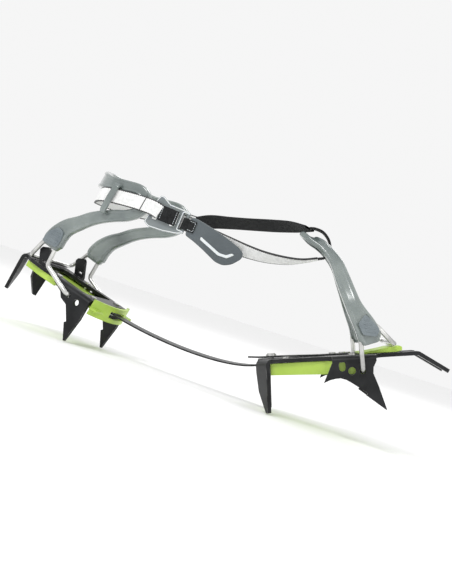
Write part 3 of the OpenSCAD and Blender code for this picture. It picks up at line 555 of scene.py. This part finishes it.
# Wire bails
bailValues = dict(wire=3.9, bend=3.8)
toeLeg = [(79, 39.65, -12.3), (79, 45.1, -12.3), (78.4, 45.9, 12), (80, 46.3, 25), (88, 46.3, 25),
          (94, 45.8, 19), (103, 40.3, 8.8), (105, 36.3, 7.6)]
heelLeg = [(63, 29.9, -7.6), (63, 35.65, -7.6), (31, 35.65, 3.6), (30.5, 36.55, 23),
           (29.5, 36.55, 30.5), (19.5, 36.55, 28.5), (14.6, 35.95, 17), (9.5, 33.55, 5),
           (7.5, 30.55, 2.35)]
bails = (("toeBail", toeLeg, toePlace, "toe_harness", "toe_bail"),
         ("heelBail", heelLeg, heelPlace, "heel_harness", "heel_bail"))
for name, leg, place, body, node in bails:
    whole = leg + [mirrored(p) for p in reversed(leg)]
    mesh = bentWire(name, [place @ Vector(p) for p in whole], bailValues["wire"] * mm,
                    bailValues["bend"] * mm)
    addPiece(name, mesh, "steelBright", body, [node])
print("bails bent")

# Toe basket and the panels in its arms
armY = stance["armY"]
toeBasketValues = dict(farLean=4.0, leanLow=8.5, leanHigh=92, hollow=0.34, ends=3.0)
toeArm = [((86.3, armY, 11.2), 15, 8, (0, 1, 0)), ((86, armY, 14), 18.2, 9, (0, 1, 0)),
          ((84.5, armY, 22), 17.5, 9, (0, 1, 0)), ((81, armY, 31), 15, 8.4, (0, 1, 0.1)),
          ((78, armY - 0.8, 39), 13, 7.4, (0, 1, 0.25)),
          ((75.5, armY - 5, 48), 12.5, 6.6, (0, 1, 0.4)),
          ((72, armY - 13, 60), 12, 6, (0, 1, 0.7)),
          ((67.5, armY - 23, 73), 10.5, 5.6, (0, 1, 0.9)),
          ((61, armY - 31, 83), 9.6, 5.4, (0.3, 1, 0.8)),
          ((54, armY - 36, 90.5), 9.5, 5.2, (0.6, 1, 0.5)),
          ((46.6, 5.4, 95.6), 11, 5.4, (1, 0.8, 0.8)), ((43.5, 1.2, 97.6), 13, 5.4, (0.8, 0.1, 1))]


def leaning(p):
    # the far arm bows forward between its foot and the peak
    low, high = toeBasketValues["leanLow"], toeBasketValues["leanHigh"]
    bowed = sin(pi * max(0, p[2] - low) / (high - low))
    lean = 0 if p[2] > high else toeBasketValues["farLean"] * bowed
    return (p[0] - lean, p[1], p[2])


farArm = [(leaning(mirrored(p)), w, t, mirrored(o)) for p, w, t, o in reversed(toeArm)]
stations = smoothStations(inPlace(toePlace, toeArm + farArm), 7)
mesh = sweep("toeBasket", stations, beadedSection(hollow=toeBasketValues["hollow"]),
             ends=toeBasketValues["ends"] * mm)
addPiece("toeBasket", mesh, "rubber", "toe_harness", ["toe_basket"], 50)


inlayValues = dict(thick=1.6, rim=0.42, corner=2.2, ribHalf=0.55, ribThick=0.7, ribRim=0.3,
                   ribCorner=0.5)


def inlays(name, outline, ribs, place, y, body, node):
    # a moulded panel with raised ribs, let into each arm
    meshes = []
    thick = inlayValues["thick"]
    for s in (-1, 1):
        at = place @ Matrix.Translation((0, s * y, 0)) @ upright
        meshes.append(softPlate(name, [roundedLoop(outline, inlayValues["corner"])], thick,
                                inlayValues["rim"], at))
        proud = place @ Matrix.Translation((0, s * (y + thick / 2), 0)) @ upright
        for a, b in ribs:
            a, b = Vector(a), Vector(b)
            across = (b - a).orthogonal().normalized() * inlayValues["ribHalf"]
            loop = roundedLoop([a - across, b - across, b + across, a + across],
                               inlayValues["ribCorner"], 3)
            meshes.append(softPlate(name, [loop], inlayValues["ribThick"], inlayValues["ribRim"],
                                    proud))
    addPiece(name, meld(name, meshes), "inlay", body, [node])


inlays("toeArmInlays", [(80, 15.5), (90.7, 13.6), (93.3, 19.5), (88, 26), (82.8, 31.7),
                        (76.8, 24.3)],
       [((82.0, 18.6), (90.0, 16.9)), ((81.2, 21.4), (89.8, 20.0)), ((80.6, 24.2), (87.6, 23.2)),
        ((81.8, 27.0), (85.4, 26.6))], toePlace, armY + 4.2, "toe_harness", "toe_arm_pads")
print("toe basket made")

# Heel basket, its keepers and the panels in its arms
ringY, heelArmY = stance["ringY"], stance["heelArmY"]
heelBasketValues = dict(hollow=0.26, ends=3.0)
keeperValues = dict(at=58, reach=5.8, width=2.7, thick=5.6, bend=3.0)
heelArm = [((25, heelArmY, 21.5), 18, 7.4, (0, 1, 0)), ((25.3, heelArmY, 25), 21, 8.6, (0, 1, 0)),
           ((27, heelArmY, 33), 19, 8.4, (0, 1, 0)), ((31.5, ringY, 42), 15.5, 7.6, (0, 1, 0)),
           ((39.5, ringY, 50.5), 13, 7, (0, 1, 0)), ((48, ringY, 59.5), 12, 6.6, (0, 1, 0)),
           ((57, ringY, 66.5), 11, 6.4, (0, 1, 0)), ((67, ringY, 72.8), 10.5, 6.4, (0, 1, 0)),
           ((78, ringY, 79), 10, 6.4, (0, 1, 0)), ((86, ringY, 86.5), 9.5, 6.4, (0, 1, 0)),
           ((88, ringY, 94.5), 9.5, 6.4, (0, 1, 0)), ((84, ringY, 101.4), 9.5, 6.4, (0, 1, 0)),
           ((76, ringY, 103.2), 9.5, 6.4, (0, 1, 0)), ((64, ringY, 100.4), 10, 6.4, (0, 1, 0)),
           ((52, ringY, 97), 10.5, 6.4, (0, 1, 0)),
           ((45, ringY - 2.5, 95.2), 12, 6.6, (-0.3, 1, 0)),
           ((38, ringY - 7, 94.2), 13.5, 7, (-0.7, 1, 0)),
           ((31.5, ringY - 14, 93.4), 15, 7.4, (-1, 1, 0)),
           ((25.8, ringY - 22.5, 92.8), 16.5, 7.8, (-1, 0.7, 0)),
           ((22, ringY - 31, 92.5), 17.5, 8, (-1, 0.3, 0))]
farArm = [(mirrored(p), w, t, mirrored(o)) for p, w, t, o in reversed(heelArm)]
stations = smoothStations(inPlace(heelPlace, heelArm + farArm), 6)
parts = [sweep("heelBasket", stations, beadedSection(hollow=heelBasketValues["hollow"]),
               ends=heelBasketValues["ends"] * mm)]
keeperOut = lieOf(heelPlace) @ Vector((1, 0, 0))
for s in (-1, 1):  # keepers that the tape runs behind
    x, reach = keeperValues["at"], keeperValues["reach"]
    loop = [(x, s * (ringY + 1), 71), (x, s * (ringY + reach + 1.4), 70.6),
            (x, s * (ringY + reach + 1.9), 83), (x, s * (ringY + reach + 1.4), 97.4),
            (x, s * (ringY + 1), 97.6)]
    path = filleted([heelPlace @ Vector(p) for p in loop], keeperValues["bend"] * mm)
    stations = [(p, keeperValues["width"] * mm, keeperValues["thick"] * mm, keeperOut)
                for p in path]
    parts.append(sweep("keeper", stations, softSection(20, 5)))
addPiece("heelBasket", meld("heelBasket", parts), "rubber", "heel_harness", ["heel_basket"], 50)
inlays("heelArmInlays", [(16.5, 20.4), (33.4, 21.4), (34.4, 29), (32.6, 36.6), (25.4, 38.6),
                         (18, 30)],
       [((20.0, 24.0), (31.6, 24.4)), ((20.4, 27.4), (31.8, 27.8)), ((21.4, 30.8), (31.4, 31.2)),
        ((23.4, 34.2), (30.4, 34.6))], heelPlace, heelArmY + 4.05, "heel_harness",
       "heel_arm_pads")
print("heel basket made")

# Link bar, bowed between the sections
barValues = dict(width=15, thick=1.5, turn=20.67, pinX=8, pinZ=-5.9, back=15, nose=36, pull=36,
                 hole=5, pitch=8, heelFront=91, heelZ=-5.1, tail=66)
barTurn = radians(barValues["turn"])
barWay = Vector((cos(barTurn), -sin(barTurn), 0))
midZ = barValues["pinZ"] + barValues["thick"] / 2
heelMidZ = barValues["heelZ"] + barValues["thick"] / 2
nose = Vector((barValues["pinX"], 0, midZ))
toeUp, heelUp = lieOf(toePlace) @ Vector((0, 0, 1)), lieOf(heelPlace) @ Vector((0, 0, 1))
bowStart = toePlace @ (nose - barWay * barValues["back"])
bowEnd = heelPlace @ Vector((barValues["heelFront"], 0, heelMidZ))
pullStart = bowStart - lieOf(toePlace) @ barWay * barValues["pull"] * mm
pullEnd = bowEnd + lieOf(heelPlace) @ Vector((1, 0, 0)) * barValues["pull"] * mm


def bow(k):
    return (bowStart * (1 - k) ** 3 + pullStart * 3 * k * (1 - k) ** 2
            + pullEnd * 3 * k * k * (1 - k) + bowEnd * k ** 3)


width, thick = barValues["width"] * mm, barValues["thick"] * mm
tip = barValues["nose"]
stations = [(toePlace @ (nose + barWay * x), w * mm, thick, toeUp)
            for x, w in ((tip, 9), (tip - 1, 12), (tip - 3, 14.4), (tip - 5, barValues["width"]),
                         (-barValues["back"] + 2, barValues["width"]))]
stations += [(bow(k / 40), width, thick, toeUp.lerp(heelUp, k / 40).normalized())
             for k in range(41)]
stations += [(heelPlace @ Vector((x, 0, heelMidZ)), width, thick, heelUp)
             for x in (barValues["heelFront"] - 3, barValues["tail"] + 8, barValues["tail"])]
barMesh = sweep("linkBar", stations, softSection(24, 9))
bar = addPiece("linkBar", barMesh, "steelBlack", None, ["link_bar"], 30)
cutters = []
for k in range(-1, 4):
    at = (toePlace @ Matrix.Translation((barValues["pinX"], 0, midZ))
          @ Matrix.Translation(barWay * k * barValues["pitch"]))
    hole = bpy.data.meshes.new("hole")
    shape = bmesh.new()
    bmesh.ops.create_cone(shape, cap_ends=True, segments=32, radius1=barValues["hole"] / 2,
                          radius2=barValues["hole"] / 2, depth=6)
    shape.to_mesh(hole)
    shape.free()
    hole.transform(at)
    cutter = bpy.data.objects.new("hole", hole)
    bpy.context.scene.collection.objects.link(cutter)
    cut = bar.modifiers.new("hole", "BOOLEAN")
    cut.object, cut.operation, cut.solver = cutter, "DIFFERENCE", "EXACT"
    cutters.append(cutter)
bpy.context.view_layer.update()
holed = bpy.data.meshes.new_from_object(bar.evaluated_get(bpy.context.evaluated_depsgraph_get()))
bar.modifiers.clear()
bar.data = holed
for cutter in cutters:
    bpy.data.objects.remove(cutter)
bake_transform(bar)
headValues = dict(front=70, back=62, half=11.5, corner=1.5, thick=1.8, rim=0.3)
x0, x1, y = headValues["back"], headValues["front"], headValues["half"]
headLoop = roundedLoop([(x0, -y), (x1, -y), (x1, y), (x0, y)], headValues["corner"])
head = softPlate("barHead", [headLoop], headValues["thick"], headValues["rim"],
                 heelPlace @ Matrix.Translation((0, 0, heelMidZ)))
addPiece("barHead", head, "steelBlack", "heel")
print("link bar made")

# Buckle and pull tab
# two of these values set the thickness and inset of the pale wire that paints the highlight along
# the buckle's rim
buckleValues = dict(thick=2.4, rim=0.55, half=7.3, bar=2.8, corner=1.3, slotCorner=0.9, rib=1.1,
                    highlightWire=0.8, highlightInset=0.7, barX=16.1)
h = buckleValues["half"]
plateLoop = [(-17.6, -12.0), (-16.4, -6.2), (-14.3, 8.2), (-11.9, 13.9), (-8.8, 13.9), (-1.6, 9.7),
             (16.0, 9.7), (17.5, 8.6), (17.5, h), (11.8, h), (11.8, -h), (17.5, -h),
             (17.5, -9.4), (12.2, -11.7), (-0.3, -14.0), (-12.7, -14.8)]
slotLoops = [[(a, -h), (b, -h), (b, h), (a, h)] for a, b in ((-12.4, -8.4), (3.6, 8.6))]
loops = ([roundedLoop(plateLoop, buckleValues["corner"])]
         + [roundedLoop(q, buckleValues["slotCorner"]) for q in slotLoops])
parts = [softPlate("buckle", loops, buckleValues["thick"], buckleValues["rim"],
                   bucklePlace @ upright)]
barEnds = [bucklePlace @ Vector((buckleValues["barX"], 0, z)) for z in (-h - 1, h + 1)]
parts.append(bentWire("buckleBar", barEnds, buckleValues["bar"] * mm, 1 * mm))
# raised ribs that the strap grips
for x, low, high in ((-14.2, -9, 4), (1.2, -h, h), (10.2, -h, h)):
    parts.append(bentWire("gripRib", [bucklePlace @ Vector((x, -1.25, z)) for z in (low, high)],
                          buckleValues["rib"] * mm, 1 * mm, 12))
addPiece("buckle", meld("buckle", parts), "buckleGrey", "heel_harness", ["buckle"])
# painted highlight: a pale wire round the plate's rim, standing in for the light caught along its
# edge
inner = roundedLoop(grownLoop(plateLoop, -buckleValues["highlightInset"]), buckleValues["corner"])
highlightLoop = [bucklePlace @ Vector((q.x, -buckleValues["thick"] / 2, q.y)) for q in inner]
rim = bentWire("buckleRimHighlight", highlightLoop + highlightLoop[:2], buckleValues["highlightWire"] * mm, 0.1 * mm, 10)
addPiece("buckleRimHighlight", rim, "stripe", "heel_harness")

tabValues = dict(thick=2.4, rim=0.9, grow=2.4, corner=2.6, middle=-0.6)
stripeValues = dict(thick=0.9, rim=0.25, corner=1.0, middle=-2.05)
tabPlace = bucklePlace @ Matrix.Translation((buckleValues["barX"], 0, -1))
tabLoop = [(5.8, -6.8), (12.6, -8.5), (22.5, -11.9), (36.5, -17.6), (42.5, -17.7), (48, -14.8),
           (53, -8.6), (53, -6), (49.5, -3.6), (38.5, -0.2), (26, 2.6), (10.4, 5.2), (5.8, 5.4)]
tabOutline = roundedLoop(grownLoop(tabLoop, tabValues["grow"]), tabValues["corner"])
tab = softPlate("pullTab", [tabOutline], tabValues["thick"], tabValues["rim"],
                tabPlace @ Matrix.Translation((0, tabValues["middle"], 0)) @ upright)
addPiece("pullTab", tab, "slate", "tab", ["pull_tab"])
stripeLoop = [(17, -7.4), (36, -14), (44, -13.4), (49, -8.6), (46.5, -8), (42.6, -11.2),
              (36.4, -11.6), (17, -4.8)]
stripe = softPlate("tabStripe", [roundedLoop(stripeLoop, stripeValues["corner"])],
                   stripeValues["thick"], stripeValues["rim"],
                   tabPlace @ Matrix.Translation((0, stripeValues["middle"], 0)) @ upright)
addPiece("tabStripe", stripe, "stripe", "tab")

# webbing loop of the tab, round the buckle's bar
tabWebbingValues = dict(width=10, thick=1, turn=2.35, rib=(1.2, 0.16), pitch=0.3)
width, thick = tabWebbingValues["width"], tabWebbingValues["thick"]
turnBy = tabWebbingValues["turn"]
loopStations = [((x, -2.4, 0), width, thick, (0, -1, 0)) for x in (9.4, 4.5)]
for a in range(270, -31, -20):
    around = (cos(radians(a)), sin(radians(a)), 0)
    loopStations.append(((turnBy * around[0], turnBy * around[1], 0), width, thick, around))
stations = evenStations(smoothStations(inPlace(tabPlace, loopStations), 4),
                        tabWebbingValues["pitch"] * mm)
webbing = sweep("tabWebbing", stations, softSection(20, 6), rib=tabWebbingValues["rib"])
addPiece("tabWebbing", webbing, "webBlack", "tab", ["tab_webbing"], 70)


stitchValues = dict(thread=0.42, length=1.1)


def stitches(name, place, rows, y, body):
    # each row is its start, the way it runs, how many stitches, and the step between them
    parts = []
    for x0, z, way, count, step in rows:
        for k in range(count):
            a = Vector((x0, y, z)) + Vector(way) * k * step
            b = a + Vector(way) * stitchValues["length"]
            parts.append(bentWire(name, [place @ a, place @ b], stitchValues["thread"] * mm,
                                  1 * mm, 8))
    addPiece(name, meld(name, parts), "clipGrey", body)


stitches("tabStitches", tabPlace, [(4.0, z, (1, 0, 0), 3, 1.7) for z in (-3.8, 3.8)]
         + [(8.7, -3.4, (0, 0, 1), 4, 1.9)], -2.92, "tab")

# black webbing doubled and sewn over the buckle
strapValues = dict(width=13, thick=1.8)
sewnValues = dict(rib=(1.7, 0.26), pitch=0.35)
sewn = [((x, -3.2, 0), strapValues["width"], strapValues["thick"], (0, -1, 0))
        for x in (-6.8, -2, 3, 8.4)]
stations = evenStations(inPlace(bucklePlace, sewn), sewnValues["pitch"] * mm)
webbing = sweep("buckleWebbing", stations, softSection(20, 7), rib=sewnValues["rib"])
addPiece("buckleWebbing", webbing, "webBlack", "heel_harness", ["strap_buckle_loop"], 70)
stitches("buckleStitches", bucklePlace, [(x, -5.0, (0, 0, 1), 6, 1.8) for x in (-5.6, 6.9)],
         -4.06, "heel_harness")
print("buckle and tab made")

# Tape round the heel basket
tapeY = stance["tapeY"]
heelTapeValues = dict(farRise=3.5, riseFrom=30, riseTo=98)
tackValues = dict(at=88.5, half=6.4, thread=0.8)
halfTape = [((98, tapeY, 96.5), (0, 1, 0)), ((84, tapeY, 94), (0, 1, 0)),
            ((70, tapeY, 90.5), (0, 1, 0)), ((57, tapeY, 86.8), (0, 1, 0)),
            ((48.5, tapeY - 0.9, 83.8), (-0.3, 1, 0)), ((41, tapeY - 7.2, 80.8), (-0.8, 1, 0)),
            ((35, tapeY - 16, 78.8), (-1, 0.9, 0)), ((28.8, tapeY - 25.5, 77.4), (-1, 0.7, 0)),
            ((23.8, tapeY - 34.5, 76.4), (-1, 0.35, 0))]
nearTape = [(mirrored(p), mirrored(o)) for p, o in reversed(halfTape)]
strapWidth, strapThick = strapValues["width"] * mm, strapValues["thick"] * mm
stations = []
for p, o in halfTape + nearTape:
    at = heelPlace @ Vector(p)
    if p[1] > 0:  # the far half climbs towards its end
        low, high = heelTapeValues["riseFrom"], heelTapeValues["riseTo"]
        rise = heelTapeValues["farRise"] * mm * max(0, p[0] - low) / (high - low)
        at = at + lieOf(heelPlace) @ Vector((0, 0, rise))
    stations.append((at, strapWidth, strapThick, wayIn(heelPlace, o)))
farTapeEnd = stations[0][0]
buckleOut = lieOf(bucklePlace) @ Vector((0, -1, 0))
stations.append((bucklePlace @ Vector((-7.2, -3.2, 0)), strapWidth, strapThick, buckleOut))
tapeStations = smoothStations(stations, 8)
addPiece("heelTape", sweep("heelTape", tapeStations, softSection(28, 8)), "webWhite",
         "heel_harness", ["strap_heel_wrap"], 60)
tackHalf = tackValues["half"]
tack = [heelPlace @ Vector((tackValues["at"], -tapeY - 1.0, 95.4 + z))
        for z in (-tackHalf, 0, tackHalf)]
addPiece("tapeTack", bentWire("tapeTack", tack, tackValues["thread"] * mm, 1 * mm, 10),
         "webBlack", "heel_harness")
print("heel tape made")

# Strap runs to the toe basket, one part for each joint they cross
strandBodies = ["heel_harness", "heel", "bar", "guide", "toe", "toe_harness"]
toeLoop = [((45.5, 0, 105), (0, 0, 1)), ((50.5, 0, 104.2), (0.4, 0, 1)),
           ((56.4, 0, 101), (1, 0, 1)), ((60.4, 0, 95), (1, 0, 0.3)), ((61.6, 0, 88), (1, 0, 0)),
           ((60, 0, 82.4), (1, 0, -0.5)), ((56, 0, 79.8), (0.4, 0, -1)),
           ((51, 0, 79.5), (0, 0, -1))]
loopLow, loopHigh = (toePlace @ Vector(toeLoop[k][0]) for k in (-1, 0))
strandValues = dict(whitePitch=2.0, rib=(1.7, 0.16), ribPitch=0.42)
nearStart = bucklePlace @ Vector((20, 5.6, 0))


def alongLine(a, b, k, lift, aside=0):
    return a.lerp(b, k) + Vector((0, aside * mm, lift * mm))


nearStrand = [(bucklePlace @ Vector((8, 3.2, 0)), (0, -1, 0)),
              (bucklePlace @ Vector((14, 4.2, 0)), (0, -1, 0)), (nearStart, (0, -1, 0))]
nearStrand += [(alongLine(nearStart, loopLow, k, lift, aside), out)
               for k, lift, aside, out in (
                   (0.14, -3.6, 2, (0, -1, -0.1)), (0.3, -6.6, 2.6, (0, -1, -0.3)),
                   (0.46, -8.8, 2.2, (0, -1, -0.7)), (0.62, -9.6, 1, (0, -0.8, -1)),
                   (0.78, -8, 0, (0, -0.4, -1)), (0.9, -4.6, 0, (0, -0.1, -1)))]
nearStrand.append((loopLow, (0, 0, -1)))
farStrand = [(farTapeEnd, (0, 1, 0))]
farStrand += [(alongLine(farTapeEnd, loopHigh, k, lift), out) for k, lift, out in (
    (0.14, 2.4, (0, 1, 0.45)), (0.32, 2, (0, 1, 0.8)), (0.5, 1.4, (0, 1, 0.9)),
    (0.7, 1, (0, 1, 0.9)), (0.86, 0.8, (0, 0.7, 0.9)))]
farStrand.append((loopHigh, (0, 0.1, 1)))


def strand(name, points, finishName, node, rib, pitch):
    stations = [(p, strapWidth, strapThick, Vector(o).normalized()) for p, o in points]
    stations = evenStations(smoothStations(stations, 10), pitch * mm)
    count = len(strandBodies) - 1
    travelled = 0.0
    for k in range(count):
        first, last = len(stations) * k // count, len(stations) * (k + 1) // count
        part = stations[first:last + 1]
        mesh = sweep(name, part, softSection(24, 8), closed=False, startAt=travelled, rib=rib)
        travelled += sum((b[0] - a[0]).length for a, b in zip(part, part[1:]))
        piece = addPiece(name + str(k + 1), mesh, finishName, None, [node], 70)
        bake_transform(piece)
    print(name, "length", round(travelled, 3), "m")


strand("nearStrand", nearStrand, "webWhite", "strap_near_strand", None,
       strandValues["whitePitch"])
strand("farStrand", farStrand, "webBlack", "strap_far_strand", strandValues["rib"],
       strandValues["ribPitch"])
stations = inPlace(toePlace, [(p, strapValues["width"], strapValues["thick"], out)
                              for p, out in toeLoop])
stations = evenStations(smoothStations(stations, 8), strandValues["ribPitch"] * mm)
loopMesh = sweep("toeLoop", stations, softSection(24, 8), closed=False, rib=strandValues["rib"])
addPiece("toeLoop", loopMesh, "webBlack", "toe_harness", ["strap_toe_loop"], 70)
print("strands made")

# Floor and light
studio = dict(floor=9.0, floorDrop=0.0006, floorTone=(0.94, 0.94, 0.94, 1), world=0.92)
floorMesh = bpy.data.meshes.new("floor")
reach, drop = studio["floor"], studio["floorDrop"]
floorMesh.from_pydata([(x * reach, y * reach, -drop) for x, y in
                       ((-1, -1), (1, -1), (1, 1), (-1, 1))], [], [(0, 1, 2, 3)])
floorMaterial, floorShader = startFinish("paleFloor", 0.9)
floorShader.inputs["Base Color"].default_value = studio["floorTone"]
floorMesh.materials.append(floorMaterial)
floor = bpy.data.objects.new("floor", floorMesh)
bpy.context.scene.collection.objects.link(floor)
lamps = dict(key=((-0.8, -1.1, 1.5), 14, 0.5), fill=((1.3, -0.9, 0.8), 2.5, 0.8),
             back=((0.3, 1.2, 1.3), 6, 0.6))  # where each stands, its power and its size
for name, (spot, power, size) in lamps.items():
    lampData = bpy.data.lights.new(name, "AREA")
    lampData.energy, lampData.size = power, size
    lamp = bpy.data.objects.new(name, lampData)
    lamp.location = spot
    aim = Vector((0, 0, 0.05)) - Vector(spot)
    lamp.rotation_euler = aim.to_track_quat("-Z", "Y").to_euler()
    bpy.context.scene.collection.objects.link(lamp)
world = bpy.data.worlds.new("studio")
world.use_nodes = True
world.node_tree.nodes["Background"].inputs[0].default_value = (1, 1, 1, 1)
world.node_tree.nodes["Background"].inputs[1].default_value = studio["world"]
bpy.context.scene.world = world
bpy.context.scene.view_settings.view_transform = "Standard"
print("studio lit")
